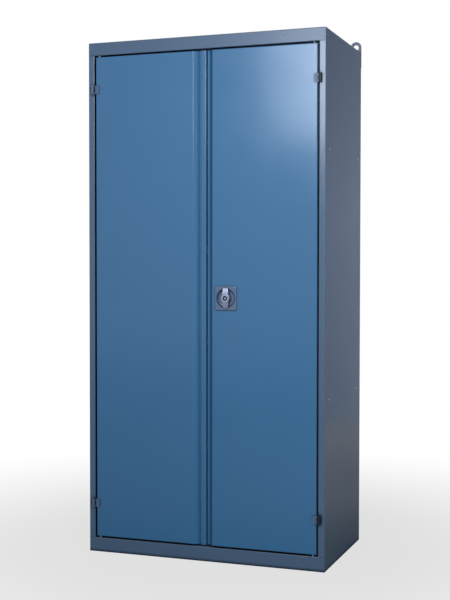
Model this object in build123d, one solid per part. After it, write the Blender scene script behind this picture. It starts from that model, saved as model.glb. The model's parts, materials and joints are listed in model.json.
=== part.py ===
from build123d import *
import math
import os

# A free-standing two-door steel tool cabinet. Each separate piece is one solid, or one group of
# identical solids, in its own STEP file. All lengths are millimetres.
#
# The pieces are drawn with the front of the frame on y = 0, depth along +Y, the floor on z = 0
# and the middle of the width on x = 0. They are shifted once, at export, so that the origin
# lies on the floor under the middle of the whole footprint, handle and wall ears included.

# ---------------------------------------------------------------- driving dimensions: carcass
cabinet_width = 950.0
cabinet_height = 1980.0        # floor to roof, without the wall ears
carcass_depth = 547.0          # front of the frame to the back returns
carcass_sheet = 1.2
bend_radius = 3.0              # outside radius of every fold in the carcass
stile_width = 25.0
top_rail_height = 50.0
bottom_rail_height = 56.0
rebate_depth = 24.0            # frame face to the lip that the closed doors stop at
stop_lip = 12.0
rear_return = 25.0
corner_wrap = 5.0              # how far a rail turns round the cabinet's front corners
roof_edge = 4.0                # height of the roof's turned-down side and rear edges
plinth_return = 22.0
plinth_shelf = 46.0            # top flange of the bottom rail, which carries the floor pan
floor_rise = 12.0
fit_gap = 0.2                  # between fixed sheets that are laid beside each other

ear_width = 44.0
ear_thickness = 3.0
ear_rise = 44.0                # top of a wall ear above the roof
ear_overlap = 62.0             # how far an ear runs down the back
ear_hole_radius = 11.0
ear_hole_drop = 2.0            # hole centre below the centre of the round top

# ---------------------------------------------------------------- driving dimensions: fittings
upright_sheet = 1.5
upright_bend = 2.5
upright_web = 30.0
upright_depth = 15.0
upright_lip = 15.0
rivet_inset = 60.0             # rivet column from the front face, and from the back plane
upright_end_gap = 6.0
slot_width = 16.0
slot_height = 5.0
slot_pitch = 50.0
slot_first = 50.0              # first slot above the floor pan
lower_rivet_z = 625.0
upper_rivet_z = 1544.0
rivet_radius = 2.4
rivet_head_radius = 4.6
rivet_head = 1.3

shelf_count = 4
shelf_sheet = 1.0
shelf_fold = 25.0
shelf_bend = 2.0
shelf_side_gap = 1.8
shelf_front = 50.0             # set back from the frame face
shelf_rear_gap = 8.0
clip_thickness = 3.0
clip_ledge = 18.0
clip_hook = 9.0
clip_side_gap = 0.5

# ---------------------------------------------------------------- driving dimensions: doors
door_sheet = 1.0
door_bend = 3.0
door_depth = 22.0
door_side_gap = 6.5
door_end_gap = 6.0
door_return = 14.0
channel_half_width = 38.5      # half width of the recessed channel, at the door faces
channel_floor_half = 19.5      # and at its floor
flange_reach = 8.0             # flat edge of the right door, beside the channel slope
strip_half_width = 9.5
strip_setback = 6.5            # front of the raised strip behind the door faces
strip_bend = 2.5
stiffener_x = 255.0
stiffener_web = 60.0
stiffener_lip = 14.0
stiffener_depth = 17.0
stiffener_end_gap = 60.0

lower_hinge_z = 192.0          # hinge middles above the floor
upper_hinge_z = 1798.5
hinge_height = 32.0
hinge_outboard = 5.5           # pin axis from the edge of the door opening
knuckle_radius = 5.5
knuckle_clear = 0.5
knuckle_gap = 0.4
middle_knuckle = 10.7
hinge_pin_radius = 3.0
running_gap = 0.06             # radial, of a shaft that turns or slides in its hole
leaf_thickness = 3.0
leaf_reach = 25.0              # inner end of a hinge leaf from the pin axis
leaf_corner = 3.0
pin_head = 1.2

# ---------------------------------------------------------------- driving dimensions: lock
lock_inset = 53.7              # lock axis from the right door's channel edge
lock_z = 997.5
plate_width = 86.0
plate_height = 92.0
plate_corner = 7.0
plate_proud = 4.0
plate_edge_radius = 3.2
dish_rim_radius = 37.5
dish_floor_radius = 32.0
dish_depth = 12.5              # plate front to dish floor
dish_wall = 1.6
dish_fillet = 4.0
hub_radius = 15.8
hub_proud = 12.0               # hub front ahead of the door face
hub_step = 1.0                 # hub front ahead of the wings' crown
wing_reach = 38.5
wing_tip_half = 10.3
wing_root_half = 11.5
wing_corner = 4.5
wing_tip_proud = 6.6
wing_tip_thickness = 2.2
wing_edge_radius = 1.8
barrel_radius = 9.3
barrel_depth = 16.0
plug_radius = 4.8
plug_depth = 14.0
key_slot_length = 7.0
key_slot_width = 1.4
journal_radius = 8.0
square_drive = 9.0
tail_radius = 4.5

gear_teeth = 12
gear_module = 2.0
gear_width = 5.0
pressure_angle = 20.0          # degrees
backlash = 0.25                # taken off every tooth, at the pitch line
rack_addendum = 1.4            # stub teeth, so that so small a gear isn't undercut
gear_addendum = 1.8
tip_clearance = 0.4
rack_teeth_each_way = 4

rod_width = 10.0
rod_clear = 0.5                # round a rod, where it passes through a plate or a guide
case_sheet = 1.5
case_half_height = 34.0
case_front_gap = 0.5
case_rear_gap = 2.3
post_radius = 4.0
post_offset = 27.0
screw_head_radius = 4.2
screw_head = 2.4
guide_width = 28.0
guide_height = 14.0
guide_from_end = 130.0         # outer rod guides from the ends of the door
rod_throw = gear_module * gear_teeth / 2 * math.pi / 2     # travel for a quarter turn

bolt_x = -64.0
bolt_radius = 4.5
bolt_length = 120.0
bolt_throw = 18.0
bolt_depth = 11.5              # bolt axis behind the door face
bolt_knob_radius = 3.2
bolt_knob_reach = 15.0
bracket_sheet = 2.0
bracket_width = 24.0
bracket_span = 66.0
bracket_from_end = 22.0
keeper_thickness = 2.0
keeper_margin = 9.0
buffer_width = 4.0
buffer_inset = 13.0
buffer_clear = 0.3
stop_pad_radius = 4.5

# ---------------------------------------------------------------- derived places
half_width = cabinet_width / 2
opening_half = half_width - stile_width
rail_z = cabinet_height - top_rail_height
roof_edge_z = cabinet_height - roof_edge
floor_z = bottom_rail_height + floor_rise
wall_x = half_width - carcass_sheet            # inner face of a side wall
back_y = carcass_depth - carcass_sheet         # front of the back returns

door_edge_x = opening_half - door_side_gap
door_low = bottom_rail_height + door_end_gap
door_high = rail_z - door_end_gap

hinge_x = opening_half + hinge_outboard
hinge_y = -(knuckle_radius + knuckle_clear)
hinge_levels = (lower_hinge_z, upper_hinge_z)

lock_x = channel_half_width + lock_inset
dish_floor_y = dish_depth - plate_proud
dish_back_y = dish_floor_y + dish_wall
gear_y = dish_back_y + case_sheet + case_front_gap
gear_back_y = gear_y + gear_width
cover_y = gear_back_y + case_rear_gap
pitch_radius = gear_module * gear_teeth / 2
rack_pitch = math.pi * gear_module
rack_root = pitch_radius + gear_addendum + tip_clearance
rod_low_x = lock_x - rack_root - rod_width     # far edge of the upper rod
rod_high_x = lock_x + rack_root + rod_width    # far edge of the lower rod
upper_rod_span = (rod_low_x, rod_low_x + rod_width)
lower_rod_span = (rod_high_x - rod_width, rod_high_x)
rack_reach = rack_pitch * (rack_teeth_each_way + 0.5)

depth_total = carcass_depth + ear_thickness
hinge_proud = knuckle_radius - hinge_y
front_y = (max(hinge_proud, hub_proud) - depth_total) / 2
to_part_frame = Pos(0, front_y, 0)


# ---------------------------------------------------------------- shared shapes
def block(x, y, z):
    """A rectangular solid between the (low, high) limits in x, y and z."""
    limits = (x, y, z)
    middle = [(low + high) / 2 for low, high in limits]
    size = [high - low for low, high in limits]
    return Pos(*middle) * Box(*size)


def shaft_y(radius, x, y, z):
    """A round solid along Y, between the (low, high) limits in y."""
    length = y[1] - y[0]
    upright = Cylinder(radius, length, align=(Align.CENTER, Align.CENTER, Align.MIN))
    return Pos(x, y[0], z) * Rot(-90, 0, 0) * upright


def shaft_z(radius, x, y, z):
    """A round solid along Z, between the (low, high) limits in z."""
    upright = Cylinder(radius, z[1] - z[0], align=(Align.CENTER, Align.CENTER, Align.MIN))
    return Pos(x, y, z[0]) * upright


def shaft_x(radius, x, y, z):
    """A round solid along X, between the (low, high) limits in x."""
    upright = Cylinder(radius, x[1] - x[0], align=(Align.CENTER, Align.CENTER, Align.MIN))
    return Pos(x[0], y, z) * Rot(0, 90, 0) * upright


def folded_sheet(outline, radii, thickness, plane, length):
    """Sheet metal bent along an open outline, its thickness on the outline's left."""
    line = FilletPolyline(*outline, radius=radii)
    section = Wire(line.edges()).offset_2d(thickness, kind=Kind.ARC, side=Side.LEFT, closed=True)
    return extrude(plane * make_face(section.edges()), length)


def pan(x, y, z, thickness, radius):
    """A folded tray that is open underneath, with rounded edges."""
    solid = block(x, y, z)
    rounded = [edge for edge in solid.edges() if edge.center().Z > z[0] + thickness / 2]
    solid = fillet(rounded, radius)
    return offset(solid, amount=-thickness, openings=solid.faces().sort_by(Axis.Z)[0])


def mirrored(shape):
    """The same shape on the other side of the cabinet's middle."""
    return mirror(shape, about=Plane.YZ)


# ---------------------------------------------------------------- carcass
def rod_slot(span, z, margin):
    """The passage of a flat rod through a horizontal plate."""
    return block((span[0] - margin, span[1] + margin),
                 (gear_y - margin, gear_back_y + margin), z)


def make_side_panel():
    """Right side: stop lip, jamb, stile, side wall and back return, all one folded sheet."""
    outline = [(opening_half - stop_lip, rebate_depth), (opening_half, rebate_depth),
               (opening_half, 0), (half_width, 0),
               (half_width, carcass_depth), (half_width - rear_return, carcass_depth)]
    radii = [bend_radius - carcass_sheet, bend_radius, bend_radius, bend_radius]
    panel = folded_sheet(outline, radii, carcass_sheet, Plane.XY, roof_edge_z)
    jamb_back = rebate_depth + 2 * carcass_sheet
    for z in ((-1, bottom_rail_height), (rail_z, cabinet_height)):
        panel -= block((0, half_width + 1), (-1, corner_wrap), z)
        panel -= block((0, wall_x), (-1, jamb_back), z)
    for y in rivet_columns():
        for z in (lower_rivet_z, upper_rivet_z):
            panel -= shaft_x(rivet_radius, (wall_x - 1, half_width + 1), y, z)
    return panel


def make_roof_panel():
    """Roof sheet with the top rail, its under-flange and the upper stop lip folded from it."""
    full = (-half_width - 1, half_width + 1)
    inner = (-half_width + corner_wrap, half_width - corner_wrap)
    fold_top = rail_z + 2 * bend_radius
    roof = pan((-half_width, half_width), (0, carcass_depth), (rail_z, cabinet_height),
               carcass_sheet, bend_radius)
    roof -= block(full, (corner_wrap, carcass_depth + 1), (rail_z - 1, roof_edge_z))
    roof -= block(inner, (-1, corner_wrap), (rail_z - 1, fold_top))
    outline = [(0, fold_top), (0, rail_z), (rebate_depth, rail_z),
               (rebate_depth, rail_z - stop_lip)]
    radii = [bend_radius, bend_radius - carcass_sheet]
    fold = folded_sheet(outline, radii, carcass_sheet, Plane.YZ.offset(inner[0]), inner[1] - inner[0])
    lip_end = opening_half - stop_lip - fit_gap
    below = (rail_z - stop_lip - 1, rail_z)
    fold -= block((lip_end, half_width), (0, rebate_depth + 2 * carcass_sheet), below)
    fold -= block((-half_width, -lip_end), (0, rebate_depth + 2 * carcass_sheet), below)
    roof += fold
    through = (rail_z - 1, rail_z + 2 * carcass_sheet)
    roof -= rod_slot(upper_rod_span, through, 2 * rod_clear)
    roof -= shaft_z(bolt_radius + 2 * rod_clear, bolt_x, bolt_depth, through)
    return roof


def make_bottom_rail():
    """Bottom rail: a folded channel that stands on the floor and turns round both corners."""
    wrap_line = [(-half_width, corner_wrap), (-half_width, 0), (half_width, 0),
                 (half_width, corner_wrap)]
    middle = (-half_width + corner_wrap, half_width - corner_wrap)
    rail = folded_sheet(wrap_line, [bend_radius, bend_radius], carcass_sheet, Plane.XY,
                        bottom_rail_height)
    rail -= block(middle, (-1, corner_wrap), (-1, bottom_rail_height + 1))
    channel_line = [(plinth_shelf, bottom_rail_height), (0, bottom_rail_height), (0, 0),
                    (plinth_return, 0)]
    rail += folded_sheet(channel_line, [bend_radius, bend_radius], carcass_sheet,
                         Plane.YZ.offset(middle[0]), middle[1] - middle[0])
    through = (bottom_rail_height - 2 * carcass_sheet, bottom_rail_height + 1)
    rail -= rod_slot(lower_rod_span, through, 2 * rod_clear)
    rail -= shaft_z(bolt_radius + 2 * rod_clear, bolt_x, bolt_depth, through)
    return rail


def make_floor_panel():
    """Raised floor pan; its front fold is the lower stop for the doors."""
    front = rebate_depth + carcass_sheet + fit_gap
    return pan((fit_gap - wall_x, wall_x - fit_gap), (front, back_y - carcass_sheet - fit_gap),
               (bottom_rail_height, floor_z), carcass_sheet, bend_radius)


def make_back_panel():
    """Flat back sheet, laid against the front of the two back returns."""
    half = half_width - bend_radius
    return block((-half, half), (back_y - carcass_sheet, back_y), (0, cabinet_height - bend_radius))


def make_ear():
    """Right wall ear: a round-topped plate with one hole, flush with the side."""
    centre_x = half_width - ear_width / 2
    low = cabinet_height - ear_overlap
    eye_z = cabinet_height + ear_rise - ear_width / 2
    y = (carcass_depth, carcass_depth + ear_thickness)
    plate = block((centre_x - ear_width / 2, centre_x + ear_width / 2), y, (low, eye_z))
    plate += shaft_y(ear_width / 2, centre_x, y, eye_z)
    return plate - shaft_y(ear_hole_radius, centre_x, (y[0] - 1, y[1] + 1), eye_z - ear_hole_drop)


def rivet_columns():
    """Depths of the front and rear columns of upright rivets."""
    return (rivet_inset, carcass_depth - rivet_inset)


def upright_centres():
    """Depths of the middles of the front and rear uprights."""
    reach = (upright_web + upright_lip) / 2
    front, rear = rivet_columns()
    return (front + reach, rear - reach)


def slot_levels():
    """Heights of the slots in an upright."""
    top = roof_edge_z - slot_pitch
    levels = []
    level = floor_z + slot_first
    while level < top:
        levels.append(level)
        level += slot_pitch
    return levels


def shelf_levels():
    """Heights of the slots that carry the shelves, spread evenly over the uprights."""
    levels = slot_levels()
    step = len(levels) / (shelf_count + 1)
    return [levels[round(step * (number + 1)) - 1] for number in range(shelf_count)]


def make_upright(centre):
    """Right upright: a slotted hat section on the side wall."""
    half = upright_web / 2
    outline = [(wall_x, centre - half - upright_lip), (wall_x, centre - half),
               (wall_x - upright_depth, centre - half), (wall_x - upright_depth, centre + half),
               (wall_x, centre + half), (wall_x, centre + half + upright_lip)]
    inner = upright_bend - upright_sheet
    radii = [upright_bend, inner, inner, upright_bend]
    low = floor_z
    length = cabinet_height - carcass_sheet - upright_end_gap - low
    upright = folded_sheet(outline, radii, upright_sheet, Plane.XY.offset(low), length)
    web = (wall_x - upright_depth - 2 * upright_sheet, wall_x - upright_depth + upright_sheet)
    for z in slot_levels():
        upright -= block(web, (centre - slot_width / 2, centre + slot_width / 2),
                         (z - slot_height / 2, z + slot_height / 2))
    rivet_y = min(rivet_columns(), key=lambda y: abs(y - centre))
    for z in (lower_rivet_z, upper_rivet_z):
        upright -= shaft_x(rivet_radius, (wall_x - 2 * upright_sheet, wall_x + 1), rivet_y, z)
    return upright


def make_rivets():
    """Blind rivets that hold the uprights: a domed head outside and a collar inside."""
    rivets = []
    for y in rivet_columns():
        for z in (lower_rivet_z, upper_rivet_z):
            shank = shaft_x(rivet_radius, (wall_x - upright_sheet, half_width), y, z)
            head = shaft_x(rivet_head_radius, (half_width, half_width + rivet_head), y, z)
            head = fillet(head.edges().sort_by(Axis.X)[-1], rivet_head / 2)
            collar = shaft_x(rivet_radius * 1.5,
                             (wall_x - upright_sheet - rivet_head, wall_x - upright_sheet), y, z)
            rivet = head + shank + collar
            rivets += [rivet, mirrored(rivet)]
    return rivets


def ledge_x():
    """Inner face of the uprights' webs, on the right."""
    return wall_x - upright_depth - upright_sheet


def make_shelf(slot_z):
    """A folded steel shelf, resting on four clips."""
    half = ledge_x() - shelf_side_gap
    low = slot_z - slot_height / 2 + clip_thickness
    rear = back_y - carcass_sheet - shelf_rear_gap
    return pan((-half, half), (shelf_front, rear), (low, low + shelf_fold), shelf_sheet, shelf_bend)


def make_clips():
    """Shelf clips: each stands in a slot, hooks up behind the web and carries a shelf corner."""
    half = slot_width / 2 - clip_side_gap
    web = ledge_x()
    clips = []
    for slot_z in shelf_levels():
        low = slot_z - slot_height / 2
        outline = [(web - clip_ledge, low), (web + upright_sheet + clip_thickness + fit_gap, low),
                   (web + upright_sheet + clip_thickness + fit_gap, low + clip_hook + clip_thickness)]
        for centre in upright_centres():
            plane = Plane.XZ.offset(-centre - half)
            clip = folded_sheet(outline, [clip_thickness + fit_gap], clip_thickness, plane, 2 * half)
            clips += [clip, mirrored(clip)]
    return clips


# ---------------------------------------------------------------- hinges
def knuckle_levels(centre):
    """Lower, middle and upper knuckle of one hinge, as (low, high) limits."""
    half = hinge_height / 2
    middle = middle_knuckle / 2
    side = middle + knuckle_gap
    return ((centre - half, centre - side), (centre - middle, centre + middle),
            (centre + side, centre + half))


def make_frame_knuckle(centre):
    """Right frame knuckle: the middle barrel of a hinge on a foot welded to the stile."""
    z = knuckle_levels(centre)[1]
    barrel = shaft_z(knuckle_radius, hinge_x, hinge_y, z)
    foot = block((hinge_x - knuckle_radius + knuckle_gap, hinge_x + knuckle_radius - knuckle_gap),
                 (hinge_y, 0), z)
    return barrel + foot - shaft_z(hinge_pin_radius, hinge_x, hinge_y, (z[0] - 1, z[1] + 1))


def make_hinge_pin(centre):
    """Right hinge pin: held in the frame knuckle, with a thin head above the top knuckle."""
    low = centre - hinge_height / 2
    high = centre + hinge_height / 2 + knuckle_gap
    pin = shaft_z(hinge_pin_radius, hinge_x, hinge_y, (low, high))
    head = shaft_z(knuckle_radius - knuckle_gap, hinge_x, hinge_y, (high, high + pin_head))
    return pin + fillet(head.edges().sort_by(Axis.Z)[-1], pin_head / 2)


def make_door_leaf(centre):
    """Right door leaf: a plate on the door face that ends in the two outer knuckles."""
    low, middle, high = knuckle_levels(centre)
    back = hinge_y + knuckle_radius
    front = back - leaf_thickness
    leaf = block((hinge_x - leaf_reach, hinge_x), (front, 0), (low[0], high[1]))
    corners = [edge for edge in leaf.edges().filter_by(Axis.Y)
               if edge.center().X < hinge_x - leaf_reach + 1]
    leaf = fillet(corners, leaf_corner)
    leaf -= block((door_edge_x, hinge_x + 1), (back, 1), (low[0] - 1, high[1] + 1))
    clear_x = hinge_x - math.hypot(knuckle_radius, hinge_y) - knuckle_gap
    leaf -= block((clear_x, hinge_x + 1), (front - 1, 1),
                  (middle[0] - knuckle_gap, middle[1] + knuckle_gap))
    for z in (low, high):
        leaf += shaft_z(knuckle_radius, hinge_x, hinge_y, z)
    bore = shaft_z(hinge_pin_radius + running_gap, hinge_x, hinge_y, (low[0] - 1, high[1] + 1))
    return leaf - bore


# ---------------------------------------------------------------- doors
def door_shell():
    """Right door pan: face, outer edge, ends and the slope down to the middle channel."""
    corners = [(door_edge_x, door_depth), (door_edge_x, 0), (channel_half_width, 0),
               (channel_floor_half, door_depth)]
    section = make_face(Polyline(*corners, close=True))
    solid = extrude(Plane.XY.offset(door_low) * section, door_high - door_low)
    face_edges = [edge for edge in solid.edges() if abs(edge.center().Y) < 1e-6]
    solid = fillet(face_edges, door_bend)
    shell = offset(solid, amount=-door_sheet, openings=solid.faces().sort_by(Axis.Y)[-1])
    rim = block((channel_floor_half + door_bend, door_edge_x - door_sheet / 2),
                (door_depth - door_sheet, door_depth),
                (door_low + door_sheet / 2, door_high - door_sheet / 2))
    window = block((channel_floor_half, door_edge_x - door_return),
                   (0, door_depth + 1), (door_low + door_return, door_high - door_return))
    return shell + (rim - window)


def channel_flange(reach):
    """The right door's flat edge beside the channel, out to the given x."""
    return block((reach, channel_floor_half + door_sheet),
                 (door_depth - door_sheet, door_depth), (door_low, door_high))


def make_right_door():
    """Active door, pierced for the lock and for both rods."""
    door = door_shell() + channel_flange(channel_floor_half - flange_reach)
    door -= shaft_y(dish_rim_radius + dish_wall + fit_gap, lock_x, (-1, door_sheet + 1), lock_z)
    door -= rod_slot(upper_rod_span, (door_high - 2 * door_sheet, door_high + 1), rod_clear)
    door -= rod_slot(lower_rod_span, (door_low - 1, door_low + 2 * door_sheet), rod_clear)
    return door


def make_left_door():
    """Passive door; its edge runs on across the channel to carry the raised strip."""
    door = mirrored(door_shell() + channel_flange(-strip_half_width))
    for z in ((door_low - 1, door_low + 2 * door_sheet), (door_high - 2 * door_sheet, door_high + 1)):
        door -= shaft_z(bolt_radius + rod_clear, bolt_x, bolt_depth, z)
    return door


def make_centre_strip():
    """The raised strip in the middle channel, a folded U on the left door's edge."""
    foot = door_depth - door_sheet
    outline = [(-strip_half_width, foot), (-strip_half_width, strip_setback),
               (strip_half_width, strip_setback), (strip_half_width, foot)]
    return folded_sheet(outline, [strip_bend, strip_bend], door_sheet,
                        Plane.XY.offset(door_low), door_high - door_low)


def make_stiffener():
    """Right door stiffener: a hat section behind the middle of the door face."""
    half = stiffener_web / 2
    back = door_sheet + stiffener_depth
    outline = [(stiffener_x - half - stiffener_lip, door_sheet), (stiffener_x - half, door_sheet),
               (stiffener_x - half, back), (stiffener_x + half, back),
               (stiffener_x + half, door_sheet), (stiffener_x + half + stiffener_lip, door_sheet)]
    inner = door_bend - door_sheet
    return folded_sheet(outline, [door_bend, inner, inner, door_bend], door_sheet,
                        Plane.XY.offset(door_low + stiffener_end_gap),
                        door_high - door_low - 2 * stiffener_end_gap)


# ---------------------------------------------------------------- lock
def make_escutcheon():
    """Square plate with a round dish sunk in it, one casting."""
    plate = block((lock_x - plate_width / 2, lock_x + plate_width / 2), (-plate_proud, 0),
                  (lock_z - plate_height / 2, lock_z + plate_height / 2))
    plate = fillet(plate.edges().filter_by(Axis.Y), plate_corner)
    plate = fillet(plate.faces().sort_by(Axis.Y)[0].edges(), plate_edge_radius)
    hole_y = (-plate_proud - 1, 1)
    plate -= shaft_y(dish_rim_radius, lock_x, hole_y, lock_z)
    rim = dish_rim_radius
    floor = dish_floor_radius
    bore = journal_radius + running_gap
    profile = [(rim, -plate_proud / 2), (floor, dish_floor_y), (bore, dish_floor_y),
               (bore, dish_back_y), (floor + dish_wall, dish_back_y), (rim + dish_wall, -plate_proud / 2)]
    cup = make_face(Polyline(*profile, close=True))
    bend = [vertex for vertex in cup.vertices() if abs(vertex.X - floor) < 1e-6]
    cup = fillet(bend, dish_fillet)
    cup = revolve(cup, Axis.Y)
    return plate + Pos(lock_x, 0, lock_z) * cup


def make_handle():
    """Turning handle: a round hub between two wings that curve back to their tips."""
    wing = [(wing_tip_half, wing_reach), (wing_root_half, hub_radius / 2),
            (wing_root_half, -hub_radius / 2), (wing_tip_half, -wing_reach),
            (-wing_tip_half, -wing_reach), (-wing_root_half, -hub_radius / 2),
            (-wing_root_half, hub_radius / 2), (-wing_tip_half, wing_reach)]
    front_view = make_face(Polyline(*wing, close=True))
    tips = [vertex for vertex in front_view.vertices() if abs(vertex.Y) > wing_reach - 1]
    front_view = fillet(tips, wing_corner)
    crown = hub_proud - hub_step
    heel = wing_tip_proud - wing_tip_thickness
    end = wing_reach + 1
    clear = dish_rim_radius - 1
    back = Polyline((-wing_tip_proud, end), (-heel, end), (-heel, clear), (dish_floor_y / 2, hub_radius),
                    (dish_floor_y / 2, -hub_radius), (-heel, -clear), (-heel, -end), (-wing_tip_proud, -end))
    front = Line((-crown, -hub_radius / 2), (-crown, hub_radius / 2))
    upper = TangentArc((-crown, hub_radius / 2), (-wing_tip_proud, end), tangent=(0, 1))
    lower = TangentArc((-crown, -hub_radius / 2), (-wing_tip_proud, -end), tangent=(0, -1))
    side_view = make_face([back, lower, front, upper])
    wings = extrude(Plane.XZ.offset(-dish_depth) * front_view, 3 * dish_depth)
    wings = wings & extrude(Plane.YZ.offset(-hub_radius) * side_view, 2 * hub_radius)
    front_edges = [edge for edge in wings.edges().filter_by(Axis.Y, reverse=True)
                   if edge.center().Y < -wing_tip_proud / 2 - heel / 2]
    wings = fillet(front_edges, wing_edge_radius)
    hub = shaft_y(hub_radius, 0, (-hub_proud, dish_floor_y - buffer_clear), 0)
    hub = fillet(hub.edges().sort_by(Axis.Y)[0], hub_step)
    handle = wings + hub - shaft_y(barrel_radius, 0, (-hub_proud - 1, barrel_depth - hub_proud), 0)
    return Pos(lock_x, 0, lock_z) * handle


def make_lock_barrel():
    """Fixed barrel of the key cylinder, pressed into the hub."""
    front = 0.6 - hub_proud
    barrel = shaft_y(barrel_radius, lock_x, (front, barrel_depth - hub_proud), lock_z)
    barrel = chamfer(barrel.edges().sort_by(Axis.Y)[0], 0.5)
    return barrel - shaft_y(plug_radius + running_gap, lock_x, (front - 1, front + plug_depth + 0.5), lock_z)


def make_key_plug():
    """Turning plug of the key cylinder, with its key slot."""
    front = 0.9 - hub_proud
    plug = shaft_y(plug_radius, lock_x, (front, front + plug_depth), lock_z)
    plug = chamfer(plug.edges().sort_by(Axis.Y)[0], 0.4)
    return plug - block((lock_x - key_slot_width / 2, lock_x + key_slot_width / 2),
                        (front - 1, front + plug_depth / 2),
                        (lock_z - key_slot_length / 2, lock_z + key_slot_length / 2))


def make_spindle():
    """Spindle: journal in the dish floor, square for the gear, tail in the cover."""
    start = dish_floor_y - buffer_clear
    journal = shaft_y(journal_radius, lock_x, (start, gear_y), lock_z)
    half = square_drive / 2
    square = block((lock_x - half, lock_x + half), (gear_y, gear_back_y),
                   (lock_z - half, lock_z + half))
    tail = shaft_y(tail_radius, lock_x, (gear_back_y, cover_y + case_sheet + 1), lock_z)
    return journal + square + tail


def gear_outline():
    """Corner points of the gear, with involute flanks, one tooth pointing along +X."""
    base = pitch_radius * math.cos(math.radians(pressure_angle))
    root = pitch_radius - rack_addendum - tip_clearance
    tip = pitch_radius + gear_addendum
    half_tooth = (rack_pitch / 2 - backlash) / 2 / pitch_radius

    def involute(radius):
        angle = math.acos(min(1.0, base / radius))
        return math.tan(angle) - angle

    flank = []
    for step in range(4):
        radius = base + (tip - base) * step / 3
        flank.append((radius, half_tooth + involute(pitch_radius) - involute(radius)))
    flank.insert(0, (root, flank[0][1]))
    points = []
    for tooth in range(gear_teeth):
        middle = 2 * math.pi * tooth / gear_teeth
        for radius, angle in flank:
            points.append((radius * math.cos(middle - angle), radius * math.sin(middle - angle)))
        for radius, angle in reversed(flank):
            points.append((radius * math.cos(middle + angle), radius * math.sin(middle + angle)))
    return points


def make_drive_gear():
    """Gear on the spindle's square, in mesh with the racks of both rods."""
    gear = extrude(Plane.XZ * make_face(Polyline(*gear_outline(), close=True)), -gear_width)
    half = square_drive / 2
    gear -= block((-half, half), (-1, gear_width + 1), (-half, half))
    return Pos(lock_x, gear_y, lock_z) * gear


def make_rack_teeth():
    """Rack teeth for the lower rod, about the lock axis, with a gap level with it."""
    slope = math.tan(math.radians(pressure_angle))
    half = (rack_pitch / 2 - backlash) / 2
    tip_x = pitch_radius - rack_addendum
    tip_half = half - rack_addendum * slope
    root_half = half + (rack_root - pitch_radius) * slope
    teeth = []
    for number in range(-rack_teeth_each_way, rack_teeth_each_way):
        z = (number + 0.5) * rack_pitch
        corners = [(tip_x, z - tip_half), (tip_x, z + tip_half),
                   (rack_root, z + root_half), (rack_root + 1, z + root_half),
                   (rack_root + 1, z - root_half), (rack_root, z - root_half)]
        tooth = make_face(Polyline(*corners, close=True))
        teeth.append(extrude(Plane.XZ * tooth, -gear_width))
    return teeth


def make_lower_rod():
    """Lower lock rod: a flat bar with its rack at the lock and a chamfered tip at the floor."""
    y = (gear_y, gear_back_y)
    rod = block(lower_rod_span, y, (door_low, lock_z + rack_reach))
    tip = [edge for edge in rod.edges().filter_by(Axis.Y) if edge.center().Z < door_low + 1]
    rod = chamfer(tip, rod_width / 4)
    for tooth in make_rack_teeth():
        rod += Pos(lock_x, gear_y, lock_z) * tooth
    return rod


def make_upper_rod():
    """Upper lock rod, on the other side of the gear."""
    y = (gear_y, gear_back_y)
    rod = block(upper_rod_span, y, (lock_z - rack_reach, door_high))
    tip = [edge for edge in rod.edges().filter_by(Axis.Y) if edge.center().Z > door_high - 1]
    rod = chamfer(tip, rod_width / 4)
    for tooth in make_rack_teeth():
        rod += Pos(lock_x, gear_y, lock_z) * mirrored(tooth)
    return rod


def make_lock_case():
    """Gear case: a folded channel behind the dish, with two posts for the cover."""
    half = rack_root + rod_width + buffer_clear + case_sheet
    outline = [(lock_x - half, cover_y), (lock_x - half, dish_back_y),
               (lock_x + half, dish_back_y), (lock_x + half, cover_y)]
    case = folded_sheet(outline, [case_sheet, case_sheet], case_sheet,
                        Plane.XY.offset(lock_z - case_half_height), 2 * case_half_height)
    for side in (-1, 1):
        case += shaft_y(post_radius, lock_x, (dish_back_y, cover_y), lock_z + side * post_offset)
    bore = journal_radius + running_gap
    return case - shaft_y(bore, lock_x, (dish_back_y - 1, dish_back_y + case_sheet + 1), lock_z)


def make_lock_cover():
    """Rear plate of the gear case, which carries the spindle's tail."""
    half = rack_root + rod_width + buffer_clear + case_sheet
    y = (cover_y, cover_y + case_sheet)
    cover = block((lock_x - half, lock_x + half), y,
                  (lock_z - case_half_height, lock_z + case_half_height))
    cover = fillet(cover.edges().filter_by(Axis.Y), post_radius)
    return cover - shaft_y(tail_radius + running_gap, lock_x, (y[0] - 1, y[1] + 1), lock_z)


def make_lock_screws():
    """The two screws that hold the cover on its posts."""
    screws = []
    y = (cover_y + case_sheet, cover_y + case_sheet + screw_head)
    for side in (-1, 1):
        z = lock_z + side * post_offset
        head = shaft_y(screw_head_radius, lock_x, y, z)
        head = fillet(head.edges().sort_by(Axis.Y)[-1], screw_head / 3)
        slot = block((lock_x - screw_head_radius, lock_x + screw_head_radius),
                     (y[1] - screw_head / 3, y[1] + 1), (z - 0.6, z + 0.6))
        screws.append(head - slot)
    return screws


def make_rod_guides():
    """Four moulded guides that hold the rods off the door face."""
    guides = []
    outer = door_high - guide_from_end, door_low + guide_from_end
    for span, far in ((upper_rod_span, outer[0]), (lower_rod_span, outer[1])):
        middle = sum(span) / 2
        for z in (far, (far + lock_z) / 2):
            low, high = z - guide_height / 2, z + guide_height / 2
            base = door_sheet
            back = gear_back_y + rod_clear + 2 * door_sheet
            corners = [(middle - guide_width / 2, base), (middle + guide_width / 2, base),
                       (span[1] + rod_clear + 2, back), (span[0] - rod_clear - 2, back)]
            guide = extrude(Plane.XY.offset(low) * make_face(Polyline(*corners, close=True)),
                            high - low)
            guides.append(guide - rod_slot(span, (low - 1, high + 1), buffer_clear))
    return guides


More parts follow.
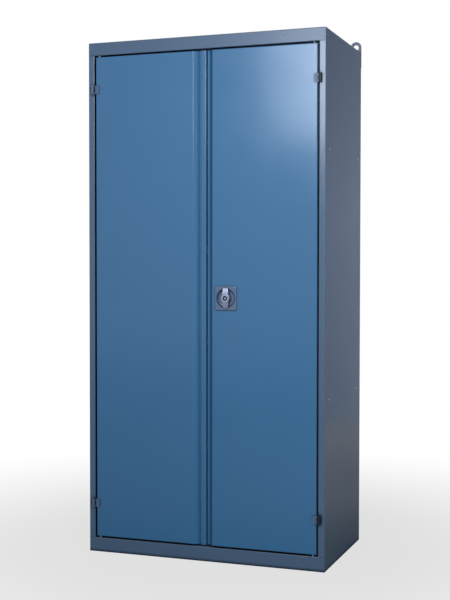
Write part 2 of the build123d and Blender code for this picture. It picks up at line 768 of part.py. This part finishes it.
# ---------------------------------------------------------------- passive door bolts
def make_upper_bolt():
    """Upper slide bolt of the left door, with its finger knob."""
    low = door_high - bolt_length
    bolt = shaft_z(bolt_radius, bolt_x, bolt_depth, (low, door_high))
    bolt = chamfer(bolt.edges().sort_by(Axis.Z)[-1], bolt_radius / 3)
    knob_z = door_high - bracket_from_end - bracket_span / 2 - bolt_throw / 2
    knob = shaft_y(bolt_knob_radius, bolt_x, (bolt_depth, bolt_depth + bolt_knob_reach), knob_z)
    return bolt + fillet(knob.edges().sort_by(Axis.Y)[-1], bolt_knob_radius / 2)


def make_bolt_bracket():
    """Bracket of the upper bolt: a folded channel whose two ears guide the bolt."""
    high = door_high - bracket_from_end
    low = high - bracket_span
    ear = bolt_depth + bolt_radius + bracket_sheet
    outline = [(ear, low), (door_sheet, low), (door_sheet, high), (ear, high)]
    outline.reverse()
    bracket = folded_sheet(outline, [bracket_sheet, bracket_sheet], bracket_sheet,
                           Plane.YZ.offset(bolt_x - bracket_width / 2), bracket_width)
    return bracket - shaft_z(bolt_radius + running_gap, bolt_x, bolt_depth, (low - 1, high + 1))


def turned_down(shape):
    """The same fitting at the other end of the door."""
    return mirror(shape, about=Plane.XY.offset((door_low + door_high) / 2))


# ---------------------------------------------------------------- keepers and buffers
def make_keepers():
    """Wear plates round the four holes that the rods and bolts enter."""
    keepers = []
    bolt_span = (bolt_x - bolt_radius, bolt_x + bolt_radius)
    top = (rail_z + carcass_sheet, rail_z + carcass_sheet + keeper_thickness)
    under = bottom_rail_height - carcass_sheet
    bottom = (under - keeper_thickness, under)
    y = (bend_radius, rebate_depth)
    for z, rod_span in ((top, upper_rod_span), (bottom, lower_rod_span)):
        through = (z[0] - 1, z[1] + 1)
        rod_plate = block((rod_span[0] - keeper_margin, rod_span[1] + keeper_margin), y, z)
        keepers.append(rod_plate - rod_slot(rod_span, through, 2 * rod_clear))
        bolt_plate = block((bolt_span[0] - keeper_margin, bolt_span[1] + keeper_margin), y, z)
        keepers.append(bolt_plate - shaft_z(bolt_radius + 2 * rod_clear, bolt_x, bolt_depth, through))
    return keepers


def make_corner_buffers():
    """Small pads in the end gaps, near the outer corners of the doors."""
    x = door_edge_x - buffer_inset
    y = (bend_radius, door_depth / 2)
    low = block((x - buffer_width / 2, x + buffer_width / 2), y,
                (bottom_rail_height, door_low - buffer_clear))
    high = block((x - buffer_width / 2, x + buffer_width / 2), y,
                 (door_high + buffer_clear, rail_z))
    return [low, high, mirrored(low), mirrored(high)]


def make_stop_pads():
    """Round rubber pads on the stop lips, which the closed doors rest against."""
    x = opening_half - stop_lip / 2
    y = (door_depth + buffer_clear, rebate_depth)
    pads = []
    for level in hinge_levels:
        inward = (cabinet_height / 2 - level) / 4
        pad = shaft_y(stop_pad_radius, x, y, level + inward)
        pads += [pad, mirrored(pad)]
    return pads


# ---------------------------------------------------------------- the whole cabinet
def build():
    """Every named piece, each a shape or a list of identical shapes."""
    front_depth, rear_depth = upright_centres()
    front_upright = make_upright(front_depth)
    rear_upright = make_upright(rear_depth)
    side = make_side_panel()
    ear = make_ear()
    frame_knuckles = [make_frame_knuckle(z) for z in hinge_levels]
    pins = [make_hinge_pin(z) for z in hinge_levels]
    leaves = [make_door_leaf(z) for z in hinge_levels]
    stiffener = make_stiffener()
    bolt = make_upper_bolt()
    bracket = make_bolt_bracket()
    pieces = {
        "right_side_panel": side,
        "left_side_panel": mirrored(side),
        "roof_panel": make_roof_panel(),
        "bottom_rail": make_bottom_rail(),
        "floor_panel": make_floor_panel(),
        "back_panel": make_back_panel(),
        "right_wall_ear": ear,
        "left_wall_ear": mirrored(ear),
        "front_right_upright": front_upright,
        "rear_right_upright": rear_upright,
        "front_left_upright": mirrored(front_upright),
        "rear_left_upright": mirrored(rear_upright),
        "upright_rivets": make_rivets(),
        "shelf_clips": make_clips(),
        "frame_hinge_knuckles": frame_knuckles + [mirrored(item) for item in frame_knuckles],
        "hinge_pins": pins + [mirrored(item) for item in pins],
        "keeper_plates": make_keepers(),
        "corner_buffers": make_corner_buffers(),
        "door_stop_pads": make_stop_pads(),
        "left_door_panel": make_left_door(),
        "centre_strip": make_centre_strip(),
        "left_door_stiffener": mirrored(stiffener),
        "left_hinge_leaves": [mirrored(item) for item in leaves],
        "bolt_brackets": [bracket, turned_down(bracket)],
        "upper_bolt": bolt,
        "lower_bolt": turned_down(bolt),
        "right_door_panel": make_right_door(),
        "right_door_stiffener": stiffener,
        "right_hinge_leaves": leaves,
        "lock_escutcheon": make_escutcheon(),
        "lock_case": make_lock_case(),
        "lock_cover": make_lock_cover(),
        "lock_screws": make_lock_screws(),
        "rod_guides": make_rod_guides(),
        "turn_handle": make_handle(),
        "lock_barrel": make_lock_barrel(),
        "lock_spindle": make_spindle(),
        "drive_gear": make_drive_gear(),
        "key_plug": make_key_plug(),
        "upper_rod": make_upper_rod(),
        "lower_rod": make_lower_rod(),
    }
    for number, slot_z in enumerate(shelf_levels(), start=1):
        pieces[f"shelf_{number}"] = make_shelf(slot_z)
    return pieces


def as_solids(shape):
    """The separate solids of a piece, moved to the part's frame."""
    shapes = shape if isinstance(shape, list) else [shape]
    return [solid.moved(to_part_frame) for item in shapes for solid in item.solids()]


os.makedirs("parts", exist_ok=True)
for name, shape in build().items():
    solids = as_solids(shape)
    export_step(solids[0] if len(solids) == 1 else Compound(children=solids), f"parts/{name}.step")
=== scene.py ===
import json
import math

import bmesh
import bpy
from mathutils import Matrix, Vector


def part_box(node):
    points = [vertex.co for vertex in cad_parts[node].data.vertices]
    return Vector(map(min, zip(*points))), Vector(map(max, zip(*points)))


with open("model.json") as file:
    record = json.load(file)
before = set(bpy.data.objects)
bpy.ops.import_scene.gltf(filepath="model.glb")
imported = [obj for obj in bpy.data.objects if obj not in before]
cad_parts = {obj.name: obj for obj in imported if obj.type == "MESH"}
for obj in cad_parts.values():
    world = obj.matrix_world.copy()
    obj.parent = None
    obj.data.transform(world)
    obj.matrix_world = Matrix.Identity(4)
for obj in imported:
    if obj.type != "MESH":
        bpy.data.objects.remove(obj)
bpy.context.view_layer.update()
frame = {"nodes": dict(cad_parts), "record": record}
nodes = frame["nodes"]

MM = 0.001


# ---------------------------------------------------------------- colours and node trees
def linear(hex_colour):
    """An sRGB hex colour as linear red, green, blue and alpha."""
    channels = [int(hex_colour[i:i + 2], 16) / 255 for i in (1, 3, 5)]
    return [c / 12.92 if c <= 0.04045 else ((c + 0.055) / 1.055) ** 2.4 for c in channels] + [1.0]


def add_node(tree, kind, inputs=None, **settings):
    """Adds a node with its settings; each input takes a value or another node's socket."""
    node = tree.nodes.new(kind)
    for name, value in settings.items():
        setattr(node, name, value)
    for socket, value in (inputs or {}).items():
        if isinstance(value, bpy.types.NodeSocket):
            tree.links.new(value, node.inputs[socket])
        else:
            node.inputs[socket].default_value = value
    return node


def empty_material(name):
    """A material with an empty tree, its object coordinates and its output."""
    material = bpy.data.materials.new(name)
    material.use_nodes = True
    tree = material.node_tree
    tree.nodes.clear()
    place = add_node(tree, "ShaderNodeTexCoord").outputs["Object"]
    output = add_node(tree, "ShaderNodeOutputMaterial")
    return material, tree, place, output


def painted_corner_shade(tree, tone, reach_mm, strength):
    """A tone painted darker in narrow gaps and inner corners: painted shade, strongest where
    ambient occlusion finds little open space.
    """
    corner = add_node(tree, "ShaderNodeAmbientOcclusion", {"Distance": reach_mm * MM}, samples=8)
    unshaded = add_node(tree, "ShaderNodeMath", {0: corner.outputs["AO"], 1: strength},
                     operation="POWER")
    mixed = add_node(tree, "ShaderNodeMix", {0: unshaded.outputs[0], 6: linear("#020A14"), 7: tone},
                     data_type="RGBA")
    return mixed.outputs[2]


def painted_knuckle_shade(tree, place, tone, from_x):
    """A hinge's tone, painted darker beyond the given x: a painted shade on the knuckles of the
    right-hand door's hinges."""
    soft_edge = 2 * MM
    knuckle_shade_cover = 0.92
    parts = add_node(tree, "ShaderNodeSeparateXYZ", {"Vector": place})
    knuckle_shaded = add_node(tree, "ShaderNodeMapRange",
                     {"Value": parts.outputs["X"], "From Min": from_x,
                      "From Max": from_x + soft_edge, "To Max": knuckle_shade_cover})
    mixed = add_node(tree, "ShaderNodeMix", {0: knuckle_shaded.outputs["Result"], 6: tone,
                                             7: linear("#0C1219")}, data_type="RGBA")
    return mixed.outputs[2]


# ---------------------------------------------------------------- kinds of finish
# Each pattern's size is given in millimetres. A painted shade in gaps and corners is given as its
# reach in mm and its strength.
def powder_coat(name, colour, shade, roughness, grain_mm, grain_height_mm, painted_shade=(14.0, 3.0),
                knuckle_shade_from=None, ior=1.4):
    """Electrostatic polyester powder, baked on sheet steel: an even satin skin whose slight
    orange peel breaks up reflections, with broad, faint changes of tone and gloss."""
    tone_patch_mm = 455.0
    gloss_patch_mm = 111.0
    gloss_change = 0.03
    material, tree, place, output = empty_material(name)
    drift = add_node(tree, "ShaderNodeTexNoise",
                     {"Vector": place, "Scale": 1 / (tone_patch_mm * MM), "Detail": 3.0})
    tone = add_node(tree, "ShaderNodeMix", {0: drift.outputs["Fac"], 6: linear(shade),
                                            7: linear(colour)}, data_type="RGBA").outputs[2]
    # Beyond the given x the tone is painted darker, a painted shade on the knuckles.
    if knuckle_shade_from:
        tone = painted_knuckle_shade(tree, place, tone, knuckle_shade_from)
    gloss = add_node(tree, "ShaderNodeTexNoise",
                     {"Vector": place, "Scale": 1 / (gloss_patch_mm * MM), "Detail": 5.0})
    polish = add_node(tree, "ShaderNodeMapRange",
                      {"Value": gloss.outputs["Fac"], "From Min": 0.3, "From Max": 0.7,
                       "To Min": roughness - gloss_change, "To Max": roughness + gloss_change})
    peel = add_node(tree, "ShaderNodeTexNoise", {"Vector": place, "Scale": 1 / (grain_mm * MM),
                                                 "Detail": 1.5, "Roughness": 0.45})
    bump = add_node(tree, "ShaderNodeBump", {"Height": peel.outputs["Fac"], "Strength": 1.0,
                                             "Distance": grain_height_mm * MM})
    # The base colour carries painted shade in gaps and inner corners.
    coat = add_node(tree, "ShaderNodeBsdfPrincipled",
                    {"Base Color": painted_corner_shade(tree, tone, *painted_shade),
                     "Roughness": polish.outputs["Result"], "IOR": ior,
                     "Normal": bump.outputs["Normal"]})
    tree.links.new(coat.outputs["BSDF"], output.inputs["Surface"])
    return material


def zinc_plate(name, colour, shade, roughness):
    """Steel stampings and bars, electroplated with zinc: a cool bright metal with faint cloudy
    patches and rolling lines along their height, which are drawn coarse enough to show."""
    cloud_mm = 16.7
    line_gap_mm = 1.1
    line_length_mm = 83.0
    line_height_mm = 0.02
    material, tree, place, output = empty_material(name)
    cloud = add_node(tree, "ShaderNodeTexNoise", {"Vector": place, "Scale": 1 / (cloud_mm * MM),
                                                  "Detail": 4.0})
    tone = add_node(tree, "ShaderNodeMix", {0: cloud.outputs["Fac"], 6: linear(shade),
                                            7: linear(colour)}, data_type="RGBA")
    across = 1 / (line_gap_mm * MM)
    stretch = add_node(tree, "ShaderNodeMapping",
                       {"Vector": place, "Scale": (across, across, 1 / (line_length_mm * MM))})
    lines = add_node(tree, "ShaderNodeTexNoise", {"Vector": stretch.outputs["Vector"],
                                                  "Scale": 1.0, "Detail": 2.0})
    bump = add_node(tree, "ShaderNodeBump", {"Height": lines.outputs["Fac"], "Strength": 0.6,
                                             "Distance": line_height_mm * MM})
    metal = add_node(tree, "ShaderNodeBsdfPrincipled",
                     {"Base Color": tone.outputs[2], "Metallic": 1.0, "Roughness": roughness,
                      "Normal": bump.outputs["Normal"]})
    tree.links.new(metal.outputs["BSDF"], output.inputs["Surface"])
    return material


def moulded(name, colour, roughness, grain_height_mm, ior=1.46):
    """Injection-moulded plastic or rubber: matt, with the spark-eroded grain of its mould, which
    is drawn coarser than the real one so that it shows."""
    grain_mm = 0.67
    material, tree, place, output = empty_material(name)
    grain = add_node(tree, "ShaderNodeTexNoise", {"Vector": place, "Scale": 1 / (grain_mm * MM),
                                                  "Detail": 2.0})
    bump = add_node(tree, "ShaderNodeBump", {"Height": grain.outputs["Fac"], "Strength": 1.0,
                                             "Distance": grain_height_mm * MM})
    plastic = add_node(tree, "ShaderNodeBsdfPrincipled",
                       {"Base Color": linear(colour), "Roughness": roughness, "IOR": ior,
                        "Normal": bump.outputs["Normal"]})
    tree.links.new(plastic.outputs["BSDF"], output.inputs["Surface"])
    return material


def cast_metal(name, colour, roughness, metallic, swell_height_mm, painted_shade):
    """A zinc pressure die casting, plated or sprayed: smooth, with the faint swell that tumbling
    leaves, so that its highlights waver a little. Lacquer or pearl chrome veils part of the
    metal, which a metallic below 1 stands for."""
    swell_mm = 5.6
    material, tree, place, output = empty_material(name)
    swell = add_node(tree, "ShaderNodeTexNoise", {"Vector": place, "Scale": 1 / (swell_mm * MM),
                                                  "Detail": 2.0})
    bump = add_node(tree, "ShaderNodeBump", {"Height": swell.outputs["Fac"], "Strength": 1.0,
                                             "Distance": swell_height_mm * MM})
    # The base colour carries painted shade in the recess, gaps and inner corners.
    metal = add_node(tree, "ShaderNodeBsdfPrincipled",
                     {"Base Color": painted_corner_shade(tree, linear(colour), *painted_shade),
                      "Metallic": metallic, "Roughness": roughness,
                      "Normal": bump.outputs["Normal"]})
    tree.links.new(metal.outputs["BSDF"], output.inputs["Surface"])
    return material


# ---------------------------------------------------------------- the cabinet's finishes
knuckle_width = 11 * MM
knuckle_shade_overlap = 1.5 * MM
# From this x on, the knuckles of the right-hand hinges are painted darker, a painted shade.
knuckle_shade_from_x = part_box("frame_hinge_knuckles")[1][0] - knuckle_width - knuckle_shade_overlap

# The reach and strength pairs given below set the painted shade in each finish's gaps and corners.
door_blue = powder_coat("door_blue_powder_coat", "#325D80", "#2E597C", roughness=0.17,
                        grain_mm=3.0, grain_height_mm=0.015, painted_shade=(4.5, 1.6))
carcass_slate = powder_coat("carcass_slate_powder_coat", "#41556B", "#3D5167", roughness=0.19,
                            grain_mm=2.0, grain_height_mm=0.015)
# The roof wears a copy of the carcass's coat, rougher and painted a shade darker: painted shade on
# the top rail.
roof_shaded_slate = powder_coat("roof_slate_powder_coat", "#3C5066", "#384C62", roughness=0.3,
                         grain_mm=2.0, grain_height_mm=0.015)
ear_grey = powder_coat("ear_grey_powder_coat", "#4F5867", "#4A5361", roughness=0.45,
                       grain_mm=2.0, grain_height_mm=0.04)
# The hinges carry painted shade on the right-hand knuckles and in their corners.
hinge_slate = powder_coat("hinge_slate_powder_coat", "#475A74", "#42556F", roughness=0.34,
                          grain_mm=2.0, grain_height_mm=0.04, knuckle_shade_from=knuckle_shade_from_x, ior=1.28)
shelf_grey = powder_coat("shelf_grey_powder_coat", "#B9BEC2", "#B2B7BB", roughness=0.42,
                         grain_mm=2.0, grain_height_mm=0.04)
bright_zinc = zinc_plate("bright_zinc_plate", "#C3C7CB", "#AEB3B9", roughness=0.34)
plate_lacquer = cast_metal("lock_plate_grey_lacquer", "#4D607B", roughness=0.26, metallic=0.4,
                           swell_height_mm=0.02, painted_shade=(7.0, 2.5))
handle_chrome = cast_metal("handle_satin_chrome", "#8C98AF", roughness=0.22, metallic=0.7,
                           swell_height_mm=0.03, painted_shade=(6.0, 1.8))
barrel_black = moulded("barrel_black_abs", "#020203", roughness=0.75, grain_height_mm=0.002,
                       ior=1.25)
plug_nickel = cast_metal("plug_nickel_plate", "#959FB0", roughness=0.3, metallic=1.0,
                         swell_height_mm=0.01, painted_shade=(2.0, 2.0))
guide_nylon = moulded("guide_black_nylon", "#1B1C1E", roughness=0.5, grain_height_mm=0.006)
pad_grey = moulded("pad_grey_polyethylene", "#5E7692", roughness=0.5, grain_height_mm=0.006)
stop_rubber = moulded("stop_black_rubber", "#161616", roughness=0.75, grain_height_mm=0.01)

finish_of_slot = {
    "door_paint": door_blue,
    "body_paint": carcass_slate,
    "ear_paint": ear_grey,
    "hinge_paint": hinge_slate,
    "shelf_paint": shelf_grey,
    "zinc_plate": bright_zinc,
    "escutcheon_paint": plate_lacquer,
    "satin_chrome": handle_chrome,
    "black_plastic": barrel_black,
    "nickel": plug_nickel,
    "black_nylon": guide_nylon,
    "light_plastic": pad_grey,
    "stop_rubber": stop_rubber,
}
finish_of_node = {"roof_panel": roof_shaded_slate, "hinge_pins": hinge_slate}

for subpart in frame["record"]["subparts"]:
    finish = finish_of_node.get(subpart["node"], finish_of_slot[subpart["material_slot"]])
    for material_slot in nodes[subpart["node"]].material_slots:
        material_slot.material = finish


# ---------------------------------------------------------------- floor, light and camera
def pale_floor():
    """A wide, pale studio floor. To the camera it is nearly white, and it keeps the shadow. All
    its reaches are distances in metres from the middle of the cabinet's base."""
    floor_radius = 14.0
    white_near = 0.72
    painted_shadow_reach = (0.5, 1.5)
    shadow_reach = (0.7, 2.6)
    mirror_white = 0.2
    mirror_reach = (1.4, 3.6)
    rim_fade_from = 4.0
    shape = bmesh.new()
    bmesh.ops.create_circle(shape, cap_ends=True, segments=96, radius=floor_radius)
    mesh = bpy.data.meshes.new("studio_floor")
    shape.to_mesh(mesh)
    shape.free()
    floor = bpy.data.objects.new("studio_floor", mesh)
    bpy.context.scene.collection.objects.link(floor)
    material, tree, place, output = empty_material("floor_pale_vinyl")
    distance = add_node(tree, "ShaderNodeVectorMath", {0: place}, operation="LENGTH")
    # The matt floor is painted darker near the cabinet, a painted contact shadow.
    away = add_node(tree, "ShaderNodeMapRange",
                    {"Value": distance.outputs["Value"], "From Min": painted_shadow_reach[0],
                     "From Max": painted_shadow_reach[1]}, interpolation_type="SMOOTHSTEP")
    tone = add_node(tree, "ShaderNodeMix", {0: away.outputs["Result"], 6: linear("#686868"),
                                            7: linear("#A0A0A0")}, data_type="RGBA")
    matt = add_node(tree, "ShaderNodeBsdfDiffuse", {"Color": tone.outputs[2]})
    white = add_node(tree, "ShaderNodeEmission", {"Color": linear("#FFFFFF"), "Strength": 1.0})
    spread = add_node(tree, "ShaderNodeMapRange",
                      {"Value": distance.outputs["Value"], "From Min": shadow_reach[0],
                       "From Max": shadow_reach[1], "To Min": white_near, "To Max": 1.0},
                      interpolation_type="SMOOTHSTEP")
    paling = add_node(tree, "ShaderNodeMapRange",
                      {"Value": distance.outputs["Value"], "From Min": mirror_reach[0],
                       "From Max": mirror_reach[1], "To Min": 0.0, "To Max": mirror_white},
                      interpolation_type="SMOOTHSTEP")
    # Towards its rim the floor fades into the white walls, so that no edge shows in the paint.
    rim = add_node(tree, "ShaderNodeMapRange",
                   {"Value": distance.outputs["Value"], "From Min": rim_fade_from,
                    "From Max": floor_radius, "To Min": 0.0, "To Max": 1.0 - mirror_white},
                   interpolation_type="SMOOTHSTEP")
    mirrored = add_node(tree, "ShaderNodeMath", {0: paling.outputs["Result"],
                                                 1: rim.outputs["Result"]})
    ray = add_node(tree, "ShaderNodeLightPath")
    to_camera = add_node(tree, "ShaderNodeMath", {0: ray.outputs["Is Camera Ray"],
                                                  1: spread.outputs["Result"]},
                         operation="MULTIPLY")
    share = add_node(tree, "ShaderNodeMath", {0: ray.outputs["Is Glossy Ray"],
                                              1: mirrored.outputs[0],
                                              2: to_camera.outputs[0]}, operation="MULTIPLY_ADD")
    mixed = add_node(tree, "ShaderNodeMixShader", {0: share.outputs[0], 1: matt.outputs[0],
                                                   2: white.outputs[0]})
    tree.links.new(mixed.outputs[0], output.inputs["Surface"])
    mesh.materials.append(material)


def reflector_card(centre, facing, width, height):
    """A graded card beside the set, for reflections alone. The right side of the cabinet mirrors
    it, not the white studio, so its paint keeps its depth."""
    palest_at = 0.47
    fade_from, fade_to = 1.3, 1.6
    faded = 0.53
    shape = bmesh.new()
    bmesh.ops.create_grid(shape, x_segments=1, y_segments=1, size=0.5)
    turn = Vector(facing).to_track_quat("Z", "Y").to_matrix().to_4x4()
    size = Matrix.Diagonal((width, height, 1.0, 1.0))
    bmesh.ops.transform(shape, matrix=Matrix.Translation(centre) @ turn @ size, verts=shape.verts)
    mesh = bpy.data.meshes.new("reflector_card")
    shape.to_mesh(mesh)
    shape.free()
    card = bpy.data.objects.new("reflector_card", mesh)
    card.visible_camera = False
    card.visible_diffuse = False
    card.visible_shadow = False
    bpy.context.scene.collection.objects.link(card)
    material, tree, place, output = empty_material("card_blue_grey")
    parts = add_node(tree, "ShaderNodeSeparateXYZ", {"Vector": place})
    level = add_node(tree, "ShaderNodeMapRange", {"Value": parts.outputs["Z"], "From Max": height})
    tones = add_node(tree, "ShaderNodeValToRGB", {"Fac": level.outputs["Result"]})
    tones.color_ramp.elements[0].color = linear("#9CA8BC")
    tones.color_ramp.elements[1].color = linear("#7F869C")
    tones.color_ramp.elements.new(palest_at).color = linear("#BAC4E0")
    fade = add_node(tree, "ShaderNodeMapRange",
                    {"Value": parts.outputs["X"], "From Min": fade_from, "From Max": fade_to,
                     "To Min": 1.0, "To Max": faded})
    glow = add_node(tree, "ShaderNodeEmission", {"Color": tones.outputs["Color"],
                                                 "Strength": fade.outputs["Result"]})
    tree.links.new(glow.outputs[0], output.inputs["Surface"])
    mesh.materials.append(material)


def studio_world(ambient):
    """Even light from all round; the camera and reflections see a white studio."""
    world = bpy.data.worlds.new("studio")
    bpy.context.scene.world = world
    world.use_nodes = True
    tree = world.node_tree
    tree.nodes.clear()
    ray = add_node(tree, "ShaderNodeLightPath")
    seen = add_node(tree, "ShaderNodeMath", {0: ray.outputs["Is Camera Ray"],
                                             1: ray.outputs["Is Glossy Ray"]}, operation="MAXIMUM")
    seen = add_node(tree, "ShaderNodeMath", {0: seen.outputs[0],
                                             1: ray.outputs["Is Transmission Ray"]},
                    operation="MAXIMUM")
    light = add_node(tree, "ShaderNodeBackground", {"Color": linear("#F4F8FF"),
                                                    "Strength": ambient})
    white = add_node(tree, "ShaderNodeBackground", {"Color": linear("#FFFFFF"), "Strength": 1.0})
    mixed = add_node(tree, "ShaderNodeMixShader", {0: seen.outputs[0], 1: light.outputs[0],
                                                   2: white.outputs[0]})
    output = add_node(tree, "ShaderNodeOutputWorld")
    tree.links.new(mixed.outputs[0], output.inputs["Surface"])


def softbox(name, place, aim, size, brightness, colour="#FFFFFF", mirrored=True):
    """A rectangular soft studio lamp at a place, turned towards a point. Its size is its width
    and height in metres, and a brightness of 1 is that of a white wall. One that isn't mirrored
    lights the paint without a reflection."""
    width, height = size
    lamp = bpy.data.lights.new(name, "AREA")
    lamp.shape = "RECTANGLE"
    lamp.size = width
    lamp.size_y = height
    lamp.energy = brightness * math.pi * width * height
    lamp.color = linear(colour)[:3]
    holder = bpy.data.objects.new(name, lamp)
    holder.location = place
    holder.rotation_euler = (Vector(aim) - Vector(place)).to_track_quat("-Z", "Y").to_euler()
    holder.visible_camera = False
    holder.visible_glossy = mirrored
    bpy.context.scene.collection.objects.link(holder)


def studio_camera(place, turn, tilt, roll, lens):
    """The camera, turned from facing along y, tilted up from level and rolled, in degrees."""
    camera = bpy.data.cameras.new("camera")
    camera.sensor_width = 36.0
    camera.lens = lens
    eye = bpy.data.objects.new("camera", camera)
    eye.matrix_world = (Matrix.Translation(place)
                        @ Matrix.Rotation(math.radians(turn), 4, "Z")
                        @ Matrix.Rotation(math.radians(90 + tilt), 4, "X")
                        @ Matrix.Rotation(math.radians(roll), 4, "Z"))
    bpy.context.scene.collection.objects.link(eye)
    bpy.context.scene.camera = eye
    bpy.context.scene.view_settings.view_transform = "Standard"


pale_floor()
reflector_card(centre=(2.3, 3.2, 1.6), facing=(-0.5, -1.0, 0.0), width=3.6, height=3.2)
studio_world(ambient=0.24)
softbox("key_softbox", place=(-0.08, -4.0, 2.5), aim=(0.0, 0.0, 1.2), size=(1.7, 1.0),
        brightness=12.7, colour="#DFEAFF")
softbox("near_softbox", place=(0.45, -1.9, 2.05), aim=(0.3, 0.0, 1.4), size=(0.9, 0.7),
        brightness=8.6)
softbox("right_fill", place=(3.6, -2.2, 1.8), aim=(0.2, 0.0, 1.0), size=(1.6, 2.0),
        brightness=3.6, mirrored=False)
softbox("low_right_fill", place=(3.2, -5.0, 1.2), aim=(0.0, 0.0, 1.0), size=(1.6, 1.6),
        brightness=19.0, colour="#FFF9F2", mirrored=False)
softbox("left_softbox", place=(-4.0, 0.4, 1.5), aim=(0.0, 0.0, 1.0), size=(2.5, 2.5),
        brightness=3.5, mirrored=False)
softbox("back_softbox", place=(-2.0, 4.6, 2.2), aim=(0.0, 0.0, 1.0), size=(2.5, 2.5),
        brightness=4.5, mirrored=False)
studio_camera(place=(1.5571, -4.303, 1.1218), turn=20.0001, tilt=-1.7423, roll=0.0508,
              lens=68.977)
